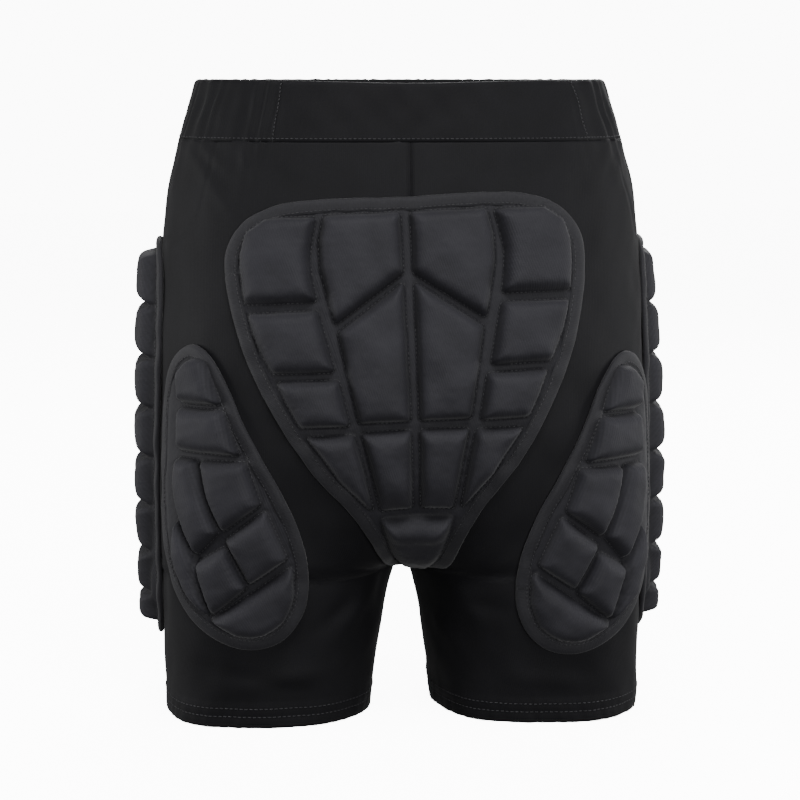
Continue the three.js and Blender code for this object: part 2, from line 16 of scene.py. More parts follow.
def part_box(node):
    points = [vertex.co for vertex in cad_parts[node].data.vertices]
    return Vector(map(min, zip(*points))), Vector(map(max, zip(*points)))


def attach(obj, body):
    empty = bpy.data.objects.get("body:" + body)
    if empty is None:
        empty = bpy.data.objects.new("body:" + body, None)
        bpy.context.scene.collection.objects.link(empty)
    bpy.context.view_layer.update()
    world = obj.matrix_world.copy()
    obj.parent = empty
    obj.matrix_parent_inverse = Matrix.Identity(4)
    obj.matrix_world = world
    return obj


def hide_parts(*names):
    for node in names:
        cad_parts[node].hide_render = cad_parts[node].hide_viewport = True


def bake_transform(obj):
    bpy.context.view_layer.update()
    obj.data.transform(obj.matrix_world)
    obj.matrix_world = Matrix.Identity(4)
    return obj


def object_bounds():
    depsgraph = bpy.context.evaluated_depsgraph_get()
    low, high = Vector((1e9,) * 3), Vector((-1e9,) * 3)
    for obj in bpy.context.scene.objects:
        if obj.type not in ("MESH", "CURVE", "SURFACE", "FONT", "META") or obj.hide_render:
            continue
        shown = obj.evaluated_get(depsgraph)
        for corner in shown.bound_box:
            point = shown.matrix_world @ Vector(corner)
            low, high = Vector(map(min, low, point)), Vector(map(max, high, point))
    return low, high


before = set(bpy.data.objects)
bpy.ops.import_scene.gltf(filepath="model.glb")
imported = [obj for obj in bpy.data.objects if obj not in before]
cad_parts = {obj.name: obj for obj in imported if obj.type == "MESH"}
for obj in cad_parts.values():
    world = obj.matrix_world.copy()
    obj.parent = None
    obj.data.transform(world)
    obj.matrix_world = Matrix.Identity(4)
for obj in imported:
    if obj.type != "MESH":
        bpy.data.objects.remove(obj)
cad_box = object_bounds()

MM = 0.001
SIDES = (("left", -1), ("right", 1))


# ---------------------------------------------------------------- shader maths

class Value:
    """A shader socket, on which ordinary sums write Math nodes."""

    def __init__(self, finish, socket):
        self.finish, self.socket = finish, socket

    def math(self, operation, *values):
        return self.finish.node("ShaderNodeMath", {"operation": operation}, dict(enumerate(values)))

    def __add__(self, other):
        return self.math("ADD", self, other)

    def __sub__(self, other):
        return self.math("SUBTRACT", self, other)

    def __rsub__(self, other):
        return self.math("SUBTRACT", other, self)

    def __mul__(self, other):
        return self.math("MULTIPLY", self, other)

    __radd__ = __add__
    __rmul__ = __mul__

    def sine(self):
        return self.math("SINE", self)

    def positive(self):
        return self.math("MAXIMUM", self, 0.0)


class Finish:
    """A material. What is fixed all over is set on the shader's own sockets."""

    def __init__(self, name, **fixed):
        self.material = bpy.data.materials.new(name)
        self.material.use_nodes = True
        self.tree = self.material.node_tree
        self.shader = self.tree.nodes["Principled BSDF"]
        for socket, value in fixed.items():
            self.shader.inputs[socket.replace("_", " ")].default_value = value

    def put(self, socket, value):
        if isinstance(value, Value):
            self.tree.links.new(value.socket, socket)
        else:
            socket.default_value = value

    def node(self, kind, settings=None, values=None, out=0):
        """A node's output, from its type, its settings and its sockets' values or links."""
        made = self.tree.nodes.new(kind)
        for name, value in (settings or {}).items():
            setattr(made, name, value)
        for socket, value in (values or {}).items():
            self.put(made.inputs[socket], value)
        return Value(self, made.outputs[out])

    def weave(self):
        """Where a point is on the flat cloth, in mm along and up, and how much painted shade darkens
        it in the stitched channels and along the seams.
        """
        place = self.node("ShaderNodeAttribute", {"attribute_name": "weave"}, out=1)
        parts = self.node("ShaderNodeSeparateXYZ", None, {0: place}).socket.node
        return (place,) + tuple(Value(self, parts.outputs[k]) for k in range(3))

    def noise(self, place, scale, detail=2.0):
        return self.node("ShaderNodeTexNoise", None,
                         {"Vector": place, "Scale": scale, "Detail": detail})

    def mix(self, amount, low, high):
        return self.node("ShaderNodeMix", {"data_type": "RGBA"}, {0: amount, 6: low, 7: high}, out=2)

    def surface(self, colour, roughness, relief, depth):
        """Link what varies over the surface: colour, roughness and the fine relief's bump."""
        self.put(self.shader.inputs["Base Color"], colour)
        self.put(self.shader.inputs["Roughness"], roughness)
        self.put(self.shader.inputs["Normal"],
                 self.node("ShaderNodeBump", None, {"Height": relief, "Distance": depth,
                                                    "Strength": 1.0}))
        return self.material


def grey(level, tint=(0.0, 0.0, 0.0)):
    return tuple(level * (1 + t) for t in tint) + (1.0,)


COOL = (-0.01, -0.03, 0.2)


def ribbed_cloth(name, dark, light, rib, lean, depth, sheen, shine):
    """A knit with fine ribs. rib is their spacing and depth their height, in mm, and lean how far
    they slant; dark and light are the yarn's own tones."""
    cloth = Finish(name, Sheen_Weight=sheen, Sheen_Roughness=0.4, Specular_IOR_Level=shine)
    place, along, up, sewing_and_painted_shade = cloth.weave()
    turn = 2 * math.pi / rib
    ribs = (along * turn + up * (turn * lean)).sine() * 0.5 + 0.5
    courses = (up * (2 * math.pi / (rib * 0.8))).sine() * 0.5 + 0.5
    fuzz = cloth.noise(place, 1.1, 3.0)
    patches = cloth.noise(place, 0.035, 3.0)
    relief = ribs * 0.7 + courses * 0.1 + fuzz * 0.6
    # painted shade: the tone is darkened where the weave's third number is high, in the stitched
    # channels and along the seams
    tone = (ribs * 0.16 + fuzz * 0.5 + patches * 0.7 - 0.18).positive() * (1 - sewing_and_painted_shade * 0.9)
    return cloth.surface(cloth.mix(tone, grey(dark, COOL), grey(light, COOL)),
                         0.78 - fuzz * 0.18, relief, depth * MM)


def plain_tape(name, dark, light):
    """A close woven tape, with a fine cross rib."""
    tape = Finish(name, Sheen_Weight=0.05, Sheen_Roughness=0.5, Specular_IOR_Level=0.15)
    place, along, up, _ = tape.weave()
    cross = (along * (2 * math.pi / 1.1)).sine() * 0.5 + 0.5
    edge = (up * (2 * math.pi / 0.9)).sine() * 0.5 + 0.5
    fuzz = tape.noise(place, 0.9, 3.0)
    tone = cross * 0.3 + fuzz * 0.6
    return tape.surface(tape.mix(tone, grey(dark, COOL), grey(light, COOL)),
                        0.8 - fuzz * 0.2, cross * 0.6 + edge * 0.2 + fuzz * 0.4, 0.12 * MM)


def thread_finish(name, dark, light):
    """Twisted polyester thread."""
    thread = Finish(name, Specular_IOR_Level=0.35)
    _, along, up, _ = thread.weave()
    ply = ((along + up) * (2 * math.pi / 0.5)).sine() * 0.5 + 0.5
    return thread.surface(thread.mix(ply, grey(dark, COOL), grey(light, COOL)),
                          0.62 - ply * 0.1, ply, 0.08 * MM)


SHELL_CLOTH = ribbed_cloth("shell_stretch_knit", 0.0014, 0.0040, rib=1.3, lean=0.0, depth=0.06,
                           sheen=0.02, shine=0.09)
WAIST_CLOTH = ribbed_cloth("waistband_knit", 0.0014, 0.0038, rib=1.1, lean=0.0, depth=0.07,
                           sheen=0.02, shine=0.08)
PAD_CLOTH = ribbed_cloth("pad_cover_knit", 0.0046, 0.0145, rib=1.6, lean=0.35, depth=0.10,
                         sheen=0.05, shine=0.12)
TAPE = plain_tape("binding_tape", 0.0036, 0.0092)
ELASTIC = plain_tape("waist_elastic_web", 0.02, 0.05)
THREAD = thread_finish("seam_thread", 0.004, 0.011)


# ---------------------------------------------------------------- reading the CAD

def node_solid(name):
    """A CAD node's corners, each once, and its triangles."""
    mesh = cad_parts[name].data
    mesh.calc_loop_triangles()
    co = np.round([v.co for v in mesh.vertices], 6)
    corners, index = np.unique(co, axis=0, return_inverse=True)
    triangles = index.ravel()[np.array([t.vertices for t in mesh.loop_triangles])]
    return corners, triangles


def outer_rows(name):
    """Level rows of the outside of a CAD half shell, from the bottom up: [(z, points)]."""
    corners, _ = node_solid(name)
    rows = []
    for z in np.unique(np.round(corners[:, 2], 4)):
        ring = corners[abs(corners[:, 2] - z) < 0.06 * MM]
        gaps = np.linalg.norm(ring[:, None] - ring[None], axis=2)
        np.fill_diagonal(gaps, 9)
        centre = ring.mean(axis=0)
        radius = np.linalg.norm(ring - centre, axis=1)
        ring = ring[radius > radius[gaps.argmin(axis=1)]]
        angle = np.arctan2(ring[:, 1] - centre[1], ring[:, 0] - centre[0])
        rows.append((z, ring[np.argsort(angle)]))
    return rows


def from_inner_side(ring):
    """A closed row, which starts and ends at its innermost point."""
    ring = np.roll(ring, -int(ring[:, 0].argmin()), axis=0)
    return np.vstack([ring, ring[:1]])


def cubic(values, t):
    """Catmull-Rom through values, which have one extra at each end, at places t."""
    i = np.clip(np.floor(t).astype(int), 0, len(values) - 4)
    f = (t - i)[:, None]
    a, b, c, d = values[i], values[i + 1], values[i + 2], values[i + 3]
    return 0.5 * (2 * b + (c - a) * f + (2 * a - 5 * b + 4 * c - d) * f ** 2
                  + (3 * b - a - 3 * c + d) * f ** 3)


def fine_row(ring, count):
    """A row at count places from the rear centre by the outer side to the front centre."""
    closed = len(ring) % 2 == 0
    if closed:
        ring = from_inner_side(ring)
        before, after = ring[-2], ring[1]
    else:
        before, after = ring[1] * (-1, 1, 1), ring[-2] * (-1, 1, 1)
    return cubic(np.vstack([before, ring, after]), np.linspace(0, len(ring) - 1, count))


def through_heights(heights, rows, wanted):
    """Smooth curves through rows at heights, at the wanted heights."""
    slopes = np.gradient(rows, heights, axis=0)
    i = np.clip(np.searchsorted(heights, wanted) - 1, 0, len(heights) - 2)
    span = (heights[i + 1] - heights[i])[:, None, None]
    t = (wanted - heights[i])[:, None, None] / span
    return ((2 * t ** 3 - 3 * t ** 2 + 1) * rows[i] + (3 * t ** 2 - 2 * t ** 3) * rows[i + 1]
            + ((t ** 3 - 2 * t ** 2 + t) * slopes[i] + (t ** 3 - t ** 2) * slopes[i + 1]) * span)


def smooth(t, low=0.0, high=1.0):
    t = np.clip((t - low) / (high - low), 0, 1)
    return t * t * (3 - 2 * t)


def unit(vectors):
    return vectors / np.maximum(np.linalg.norm(vectors, axis=-1, keepdims=True), 1e-12)


def waver(a, b, size, seed, waves=7):
    """Soft uneven swell between about -1 and 1, with features of a given size."""
    draw = np.random.default_rng(seed)
    total = np.zeros(np.broadcast(a, b).shape)
    for _ in range(waves):
        turn, phase = draw.uniform(0, 2 * math.pi, 2)
        pitch = draw.uniform(0.7, 1.5) * 2 * math.pi / size
        total = total + np.sin((a * math.cos(turn) + b * math.sin(turn)) * pitch + phase)
    return total / math.sqrt(waves)


class Chart:
    """A table of places over two flat coordinates a and b, both evenly spaced."""

    def __init__(self, a, b, points, outward=1):
        self.a, self.b, self.points = a, b, points
        along_a = np.gradient(points, a, axis=0)
        along_b = np.gradient(points, b, axis=1)
        self.normals = unit(np.cross(along_a, along_b)) * outward
        self.tree = KDTree(len(a) * len(b))
        for k, p in enumerate(points.reshape(-1, 3)):
            self.tree.insert(p, k)
        self.tree.balance()

    def _mix(self, table, a, b):
        s = np.clip((a - self.a[0]) / (self.a[1] - self.a[0]), 0, len(self.a) - 1.001)
        t = np.clip((b - self.b[0]) / (self.b[1] - self.b[0]), 0, len(self.b) - 1.001)
        i, j = s.astype(int), t.astype(int)
        f, g = (s - i)[..., None], (t - j)[..., None]
        return ((table[i, j] * (1 - f) + table[i + 1, j] * f) * (1 - g)
                + (table[i, j + 1] * (1 - f) + table[i + 1, j + 1] * f) * g)

    def at(self, a, b, lift=0.0):
        """Places over flat coordinates, lifted off the body."""
        normal = unit(self._mix(self.normals, a, b))
        return self._mix(self.points, a, b) + normal * np.broadcast_to(lift, np.shape(a))[..., None]

    def flat(self, places):
        """The flat coordinates below some places."""
        found = np.array([self.tree.find(p)[1] for p in places])
        a, b = self.a[found // len(self.b)], self.b[found % len(self.b)]
        step = 0.5 * MM
        for _ in range(5):
            rest = places - self._mix(self.points, a, b)
            da = self._mix(self.points, a + step, b) - self._mix(self.points, a - step, b)
            db = self._mix(self.points, a, b + step) - self._mix(self.points, a, b - step)
            da, db = da / (2 * step), db / (2 * step)
            aa, bb, ab = (da * da).sum(1), (db * db).sum(1), (da * db).sum(1)
            ra, rb = (rest * da).sum(1), (rest * db).sum(1)
            det = np.maximum(aa * bb - ab * ab, 1e-9)
            a, b = a + (ra * bb - rb * ab) / det, b + (rb * aa - ra * ab) / det
        return a, b


# ---------------------------------------------------------------- the body's form

COLUMNS = 241
ROW_STEP = 2 * MM
leg_rows = outer_rows("shell_leg_right")
hip_rows = outer_rows("shell_hip_right")[1:]  # its lowest row meets the leg shell's highest
CROTCH_Z = max(z for z, ring in leg_rows if len(ring) % 2 == 0)
SEAM_Z = hip_rows[-1][0]
TOP_Z = cad_box[1].z
SIDE_Y = float(from_inner_side(leg_rows[0][1])[0][1])

row_heights = np.array([z for z, _ in leg_rows + hip_rows])
row_points = np.array([fine_row(ring, COLUMNS) for _, ring in leg_rows + hip_rows])
body_heights = np.linspace(0, SEAM_Z, round(SEAM_Z / ROW_STEP) + 1)
body_points = through_heights(row_heights, row_points, body_heights)
away_from_cleft = smooth(body_points[1:-1, :, :1], 8 * MM, 30 * MM) \
    * smooth(body_heights[1:-1, None, None], 70 * MM, 85 * MM) \
    * (1 - smooth(body_heights[1:-1, None, None], 150 * MM, 175 * MM))
for _ in range(14):
    eased = (body_points[:-2] + 2 * body_points[1:-1] + body_points[2:]) / 4
    body_points[1:-1] += (eased - body_points[1:-1]) * away_from_cleft
body_points[:, :, 0] = np.maximum(body_points[:, :, 0], 0.15 * MM)
body_normals = unit(np.cross(np.gradient(body_points, axis=1), np.gradient(body_points, axis=0)))


def grid_faces(rows, columns, wrap=False):
    """Quads of a grid of rows by columns corners."""
    last = columns if wrap else columns - 1
    i, j = np.meshgrid(np.arange(rows - 1), np.arange(last), indexing="ij")
    k = (j + 1) % columns
    quads = [i * columns + j, i * columns + k, (i + 1) * columns + k, (i + 1) * columns + j]
    return np.stack(quads, axis=-1).reshape(-1, 4)


def leg_chart():
    """Over length round the body from the side line, rear positive, and height, on the right."""
    steps = np.linalg.norm(np.diff(body_points, axis=1), axis=2)
    lengths = np.hstack([np.zeros((len(steps), 1)), np.cumsum(steps, axis=1)])
    a = np.arange(-70 * MM, 200 * MM, 2 * MM)
    table = np.zeros((len(a), len(body_heights), 3))
    for j in range(len(body_heights)):
        from_side = lengths[j, COLUMNS // 2] - lengths[j]
        for k in range(3):
            table[:, j, k] = np.interp(a, from_side[::-1], body_points[j, ::-1, k])
    return Chart(a, body_heights, table, outward=-1)


FAN_Z = CROTCH_Z + 88 * MM
FAN_RADIUS = 100 * MM


def seat_chart():
    """Over x and height across the seat, fanning round under it below FAN_Z."""
    flat = body_points.reshape(-1, 3)
    faces = grid_faces(len(body_heights), COLUMNS)
    both = np.vstack([flat, flat * (-1, 1, 1)])
    tree = BVHTree.FromPolygons([Vector(p) for p in both],
                                np.vstack([faces, faces[:, ::-1] + len(flat)]).tolist())
    a = np.arange(-140 * MM, 141 * MM, 2 * MM)
    b = np.arange(CROTCH_Z - 60 * MM, CROTCH_Z + 280 * MM, 2 * MM)
    table = np.zeros((len(a), len(b), 3))
    for i, x in enumerate(a):
        for j in reversed(range(len(b))):
            turn = max(FAN_Z - b[j], 0) / FAN_RADIUS
            way = Vector((0, -math.cos(turn), -math.sin(turn)))
            start = Vector((x if abs(x) > 0.2 * MM else 0.3 * MM, SIDE_Y, max(b[j], FAN_Z)))
            hit = tree.ray_cast(start + way * 0.4, -way)[0]
            # between the legs the pad bridges the cleft, level with the crotch
            if hit is None or hit.z < CROTCH_Z + 7 * MM:
                hit = table[i, j + 1] + (0, 1.9 * MM, 0)
            table[i, j] = hit
    for _ in range(3):
        table[1:-1] = (table[:-2] + 2 * table[1:-1] + table[2:]) / 4
        table[:, 1:-1] = (table[:, :-2] + 2 * table[:, 1:-1] + table[:, 2:]) / 4
    return Chart(a, b, table)


leg = leg_chart()
seat = seat_chart()


# ---------------------------------------------------------------- pieces

def piece(name, points, faces, finish, weave, flat_from=None):
    """A mesh piece. weave is where each corner is on the flat cloth, in metres, and, as a
    third number from 0 to 1 where there is one, how much painted shade darkens it in the stitched
    channels and along the seams.

    Its faces are smooth, apart from the cut edges, which start at flat_from.
    """
    mesh = bpy.data.meshes.new(name)
    mesh.from_pydata(np.asarray(points).tolist(), [], [list(map(int, f)) for f in faces])
    place = mesh.attributes.new("weave", "FLOAT_VECTOR", "POINT")
    weave = np.asarray(weave)
    weave = weave.reshape(-1, weave.shape[-1])
    flat = np.zeros((len(points), 3))
    flat[:, :weave.shape[1]] = weave / (MM, MM, 1)[:weave.shape[1]]
    place.data.foreach_set("vector", flat.ravel())
    smooth_faces = np.ones(len(faces), bool)
    if flat_from is not None:
        smooth_faces[flat_from:] = False
    mesh.polygons.foreach_set("use_smooth", smooth_faces)
    mesh.update()
    mesh.materials.append(finish)
    made = bpy.data.objects.new(name, mesh)
    bpy.context.scene.collection.objects.link(made)
    return made


def mirrored(points, faces, sign):
    """The same for the other side of the body."""
    points = np.asarray(points) * (sign, 1, 1)
    return (points, faces) if sign > 0 else (points, [f[::-1] for f in faces])


def closed_skin(outer, inner, shown, joined=()):
    """A grid of quads with its inner layer and the walls between them: corners and faces.

    joined are the rows whose last corner is also their first.
    """
    rows, columns = outer.shape[:2]
    number = np.arange(rows * columns).reshape(rows, columns)
    number[joined, -1] = number[joined, 0]
    quads = number.ravel()[grid_faces(rows, columns)[shown.ravel()]]
    used = np.unique(quads)
    renumber = np.full(rows * columns, -1)
    renumber[used] = np.arange(len(used))
    quads = renumber[quads]
    count = len(used)
    sides = np.vstack([quads[:, [k, (k + 1) % 4]] for k in range(4)])
    pairs = set(map(tuple, sides.tolist()))
    rim = [(a, b) for a, b in pairs if (b, a) not in pairs]
    walls = [(b, a, a + count, b + count) for a, b in sorted(rim)]
    faces = quads.tolist() + (quads[:, ::-1] + count).tolist() + walls
    points = np.vstack([outer.reshape(-1, 3)[used], inner.reshape(-1, 3)[used]])
    return points, faces, used


# ---------------------------------------------------------------- shells

SHELL_THICK = 1.6 * MM
HEM_ROWS = (8 * MM, 15 * MM)
HEM_DEPTH = 18 * MM
HEM_STITCH = {"pitch": 3.4 * MM, "length": 2.4 * MM, "radius": 0.34 * MM}
# folds seen on the back: from (x, z) to (x, z) and how wide and how high, in mm
FOLDS = (
    (-152, 402, -128, 366, 5, 1.5), (-128, 366, -118, 352, 4, 1.0),
    (-140, 398, -122, 380, 4, 1.2), (-112, 396, -104, 378, 4, 0.9),
    (-22, 100, -48, 62, 7, 2.0), (-30, 92, -62, 70, 6, -1.4), (-52, 40, -128, 28, 7, 1.2),
    (-70, 26, -140, 44, 6, -0.9), (-16, 74, -30, 40, 6, 1.2), (26, 104, 50, 70, 7, 2.0),
    (34, 86, 62, 82, 6, -1.3), (22, 70, 40, 44, 6, 1.3), (70, 34, 130, 28, 7, 1.0),
    (150, 396, 146, 372, 4, 1.0), (138, 398, 132, 376, 4, 0.9), (-8, 396, -6, 356, 5, 0.7),
)
# the same for the front, where the legs pull on the crotch; one side, used for both
FRONT_FOLDS = (
    (8, 112, 74, 136, 9, 1.5), (10, 122, 62, 170, 9, 1.2), (12, 104, 70, 92, 8, 1.4),
    (26, 96, 58, 60, 8, 1.1), (96, 150, 150, 176, 10, 1.0), (84, 44, 140, 30, 9, 0.9),
    (40, 396, 48, 352, 6, 0.8), (96, 396, 104, 360, 6, 0.9), (132, 392, 140, 350, 7, 0.9),
)
# the curved seams at each side of the back, (x, z) in mm
HIP_SEAMS = {-1: ((-127, 399), (-131, 380), (-140, 347), (-150, 336), (-163, 329)),
             1: ((142, 399), (146, 384), (154, 356), (158, 342), (163, 329))}


def near_line(x, z, line):
    """How far places are from a line of points, and how far along it, 0 to 1."""
    line = np.asarray(line, float) * MM
    best = np.full(x.shape, 9.0)
    share = np.zeros(x.shape)
    for k in range(len(line) - 1):
        (x0, z0), (x1, z1) = line[k], line[k + 1]
        t = ((x - x0) * (x1 - x0) + (z - z0) * (z1 - z0)) / ((x1 - x0) ** 2 + (z1 - z0) ** 2)
        t = np.clip(t, 0, 1)
        away = np.hypot(x - x0 - t * (x1 - x0), z - z0 - t * (z1 - z0))
        share = np.where(away < best, (k + t) / (len(line) - 1), share)
        best = np.minimum(best, away)
    return best, share


def dent(away, wide, deep):
    """A soft round dent of a depth, over distances from its middle."""
    return deep * np.exp(-(away / wide) ** 2)


def fold_height(x, z, fold):
    """The height of a fold of cloth, which fades towards its ends."""
    x0, z0, x1, z1, wide, high = fold
    away, share = near_line(x, z, ((x0, z0), (x1, z1)))
    return (0.35 + 0.65 * np.sin(math.pi * share)) * dent(away, wide * MM, high * MM)


def shell_relief(points, sign, arc):
    """How far the stretch cloth stands off the plain form, over the body's table."""
    x, y, z = points[..., 0] * sign, points[..., 1], points[..., 2]
    rear = smooth(SIDE_Y - y, 0, 25 * MM)
    calm = smooth(SEAM_Z - z, 1 * MM, 22 * MM) * smooth(np.abs(x), 1 * MM, 22 * MM)
    relief = waver(arc, z, 70 * MM, 5 + sign) * 0.5 * MM * calm
    relief += waver(arc, z * 0.6, 26 * MM, 15 + sign) * 0.2 * MM * calm
    for fold in FOLDS:
        relief += rear * fold_height(x, z, fold)
    front = smooth(y - SIDE_Y, 0, 25 * MM)
    for x0, z0, x1, z1, wide, high in FRONT_FOLDS:
        relief += front * fold_height(np.abs(x), z, (x0, z0, x1, z1 + 3 * sign, wide, high))
    away, _ = near_line(x, z, HIP_SEAMS[sign])
    relief -= rear * dent(away, 1.3 * MM, 0.6 * MM)
    relief -= smooth(z, CROTCH_Z, CROTCH_Z + 20 * MM) * dent(x, 1.0 * MM, 0.1 * MM)
    gather = gathers(x, y) * np.exp(-(SEAM_Z - z) / (14 * MM))
    relief += EDGE_GATHER * gather
    relief -= dent(SEAM_Z - z, 1.6 * MM, 0.1 * MM)
    relief += 0.5 * MM * (1 - smooth(z, HEM_DEPTH - 1.2 * MM, HEM_DEPTH))
    for row in HEM_ROWS:
        relief -= dent(z - row, 1.0 * MM, 0.35 * MM)
    relief += 0.25 * MM * waver(arc, z * 0.2, 9 * MM, 31 + sign) * (1 - smooth(z, 0, 30 * MM))
    return relief


# ---------------------------------------------------------------- waistband

BACK_LEFT = float(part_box("waistband_back")[0].x)
BACK_RIGHT = float(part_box("waistband_back")[1].x)
GATHER_PITCH = 10.5 * MM
EDGE_GATHER = 0.7 * MM  # the ridges' height where waistband and shell meet
WAIST_RADIUS = 125 * MM  # about; turns angles round the waist into lengths
BAND_HIGH = TOP_Z - SEAM_Z


def band_angle(x, y):
    return np.arctan2(y - SIDE_Y, x)


def gathers(x, y):
    """Uneven upright ridges where the casing is gathered; none across the flat back."""
    angle = band_angle(x, y)
    run = angle * WAIST_RADIUS
    phase = 2 * math.pi * run / GATHER_PITCH
    uneven = 1.5 * np.sin(run / (13 * MM)) + 1.1 * np.sin(run / (5.3 * MM) + 1.3)
    strength = 0.6 + 0.4 * np.sin(run / (8.3 * MM) + 0.6)
    flat_back = (y < SIDE_Y) * smooth(x, BACK_LEFT - 3 * MM, BACK_LEFT + 2 * MM) \
        * (1 - smooth(x, BACK_RIGHT - 2 * MM, BACK_RIGHT + 3 * MM))
    return np.sin(phase + uneven) * strength * (1 - flat_back)


def ring_radius(points, angles):
    """The radius of a level ring of points about the middle of the waist, at some angles."""
    angle = band_angle(points[:, 0], points[:, 1])
    radius = np.hypot(points[:, 0], points[:, 1] - SIDE_Y)
    order = np.argsort(angle)
    angle, radius = angle[order], radius[order]
    angle = np.hstack([angle - 2 * math.pi, angle, angle + 2 * math.pi])
    return np.interp(angles, angle, np.tile(radius, 3))


def top_ring():
    """The outer edge of the CAD waistband near its top."""
    corners = np.vstack([node_solid(n)[0] for n in ("waistband_back", "waistband_casing")])
    high = corners[corners[:, 2] > TOP_Z - 0.3 * MM]
    angle = band_angle(high[:, 0], high[:, 1])
    radius = np.hypot(high[:, 0], high[:, 1] - SIDE_Y)
    bins = np.round(angle / (2 * math.pi) * 72).astype(int)
    keep = [np.flatnonzero(bins == k)[radius[bins == k].argmax()] for k in np.unique(bins)]
    return high[keep]


BAND_THICK = 4.4 * MM
BAND_COLUMNS = 900
TOP_EASING = 300  # rounds of easing that even out the top edge
TOP_TURN = 0.93  # where the top edge starts to turn over, as a share of the height
SEAM_STITCH = {"pitch": 3.2 * MM, "length": 2.2 * MM, "radius": 0.35 * MM}
JOIN_STITCH = {"pitch": 2.6 * MM, "length": 1.8 * MM, "radius": 0.4 * MM}
BACK_CUT = (0.22, BAND_HIGH)  # the waistband's cloth laid flat and folded double
CASING_CUT = (0.72, BAND_HIGH)


def band_point(angles, share, depth, low, high):
    """Places on the waistband at shares of its height, sunk below its face by depth."""
    radius = low * (1 - share) + high * share + 0.2 * MM
    x = radius * np.cos(angles)
    y = radius * np.sin(angles) + SIDE_Y
    ridge = gathers(x, y)
    swell = ridge * (EDGE_GATHER + 0.4 * MM * np.sin(math.pi * share))
    swell += 0.5 * MM * waver(angles * WAIST_RADIUS, share * BAND_HIGH, 30 * MM, 77) \
        * smooth(share, 0, 0.4)
    radius = radius + swell * np.clip(1 - depth / BAND_THICK, 0, 1) - depth - 0.6 * MM * share
    dip = np.exp(-(x / (75 * MM)) ** 2) * (y < SIDE_Y)
    rise = 0.3 * MM * ridge * (share > 0.9) - 2.4 * MM * dip * share
    z = SEAM_Z - 0.8 * MM + (TOP_Z - SEAM_Z - 0.2 * MM) * share + rise
    return np.stack([radius * np.cos(angles), radius * np.sin(angles) + SIDE_Y, z], axis=-1)


def band_ring():
    """The waistband's radius at its foot and at its top, at even angles round the waist."""
    both = np.vstack([body_points[-1], body_points[-1][::-1] * (-1, 1, 1)])
    angles = np.linspace(-math.pi, math.pi, BAND_COLUMNS, endpoint=False)
    low, high = ring_radius(both, angles), ring_radius(top_ring(), angles)
    for _ in range(TOP_EASING):
        high = (np.roll(high, 1) + 2 * high + np.roll(high, -1)) / 4
    return angles, low, high


def back_columns(angles, high):
    """The first and the last column of the flat back."""
    x = high * np.cos(angles)
    on_back = np.flatnonzero((angles < 0) & (x > BACK_LEFT) & (x < BACK_RIGHT))
    return int(on_back[0]), int(on_back[-1])


def add_band_covers(angles, low, high, first, last):
    """The flat back and the gathered casing, each turned over at the top."""
    section = [(t, 0.0) for t in np.linspace(0, TOP_TURN, 16)]
    section += [(TOP_TURN + (1 - TOP_TURN) * math.sin(q), BAND_THICK / 2 * (1 - math.cos(q)))
                for q in np.linspace(0.3, math.pi - 0.3, 7)]
    section += [(t, BAND_THICK) for t in np.linspace(TOP_TURN, 0, 8)]
    shares = np.array([s for s, _ in section])
    depths = np.array([d for _, d in section])
    for name, columns, node, cut, held in (
            ("waistband_back_cover", np.arange(first, last + 1), "waistband_back",
             BACK_CUT, "stretched"),
            ("waistband_gathered_cover", np.arange(last, first + BAND_COLUMNS + 1) % BAND_COLUMNS,
             "waistband_casing", CASING_CUT, "gathered")):
        span = np.unwrap(angles[columns])
        grid = band_point(span[None, :], shares[:, None], depths[:, None],
                          low[columns][None, :], high[columns][None, :])
        count = len(columns)
        rows = len(section)
        faces = grid_faces(rows, count).tolist()
        faces += [(j, j + 1, (rows - 1) * count + j + 1, (rows - 1) * count + j)[::-1]
                  for j in range(count - 1)]
        faces += [[i * count for i in range(rows)], [i * count + count - 1 for i in range(rows)][::-1]]
        run = np.broadcast_to(span * WAIST_RADIUS, (rows, count))
        along = np.broadcast_to((shares * BAND_HIGH + depths)[:, None], (rows, count))
        made = piece(name, grid.reshape(-1, 3), faces, WAIST_CLOTH,
                     np.stack([run, along], axis=-1))
        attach(made, "hips")
        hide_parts(node)


def add_band_stitches(angles, low, high, first, last):
    """The stitches along the waist seam and up both ends of the flat back."""
    seam = band_point(angles, np.full(BAND_COLUMNS, 0.06), np.full(BAND_COLUMNS, -0.1 * MM),
                      low, high)
    outward = np.stack([np.cos(angles), np.sin(angles), 0 * angles], axis=-1)
    made = stitches("waist_seam_stitches", [(seam, outward, True)], **SEAM_STITCH)
    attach(made, "hips")
    joins = []
    share = np.linspace(0.03, 0.97, 24)
    for at in (first, last):
        angle = angles[at]
        line = band_point(angle + 0 * share, share, 0 * share - 0.3 * MM, low[at], high[at])
        outward = np.tile([math.cos(angle), math.sin(angle), 0], (len(share), 1))
        joins.append((line, outward, False))
    made = stitches("waistband_join_stitches", joins, **JOIN_STITCH)
    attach(made, "hips")


def add_elastic(angles, low, high):
    """The elastic web inside the waistband."""
    section = [(t, 1.7 * MM) for t in np.linspace(0.1, 0.86, 9)]
    section += [(t, 2.9 * MM) for t in np.linspace(0.86, 0.1, 9)]
    shares = np.array([s for s, _ in section])
    depths = np.array([d for _, d in section])
    grid = band_point(angles[None, :], shares[:, None], depths[:, None], low[None, :], high[None, :])
    loop = grid_faces(len(section) + 1, BAND_COLUMNS, wrap=True) % (len(section) * BAND_COLUMNS)
    weave = np.stack(np.broadcast_arrays(angles[None, :] * WAIST_RADIUS,
                                         shares[:, None] * BAND_HIGH), axis=-1)
    made = piece("waist_elastic_web", grid.reshape(-1, 3), loop.tolist(), ELASTIC, weave)
    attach(made, "hips")
    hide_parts("waist_elastic")


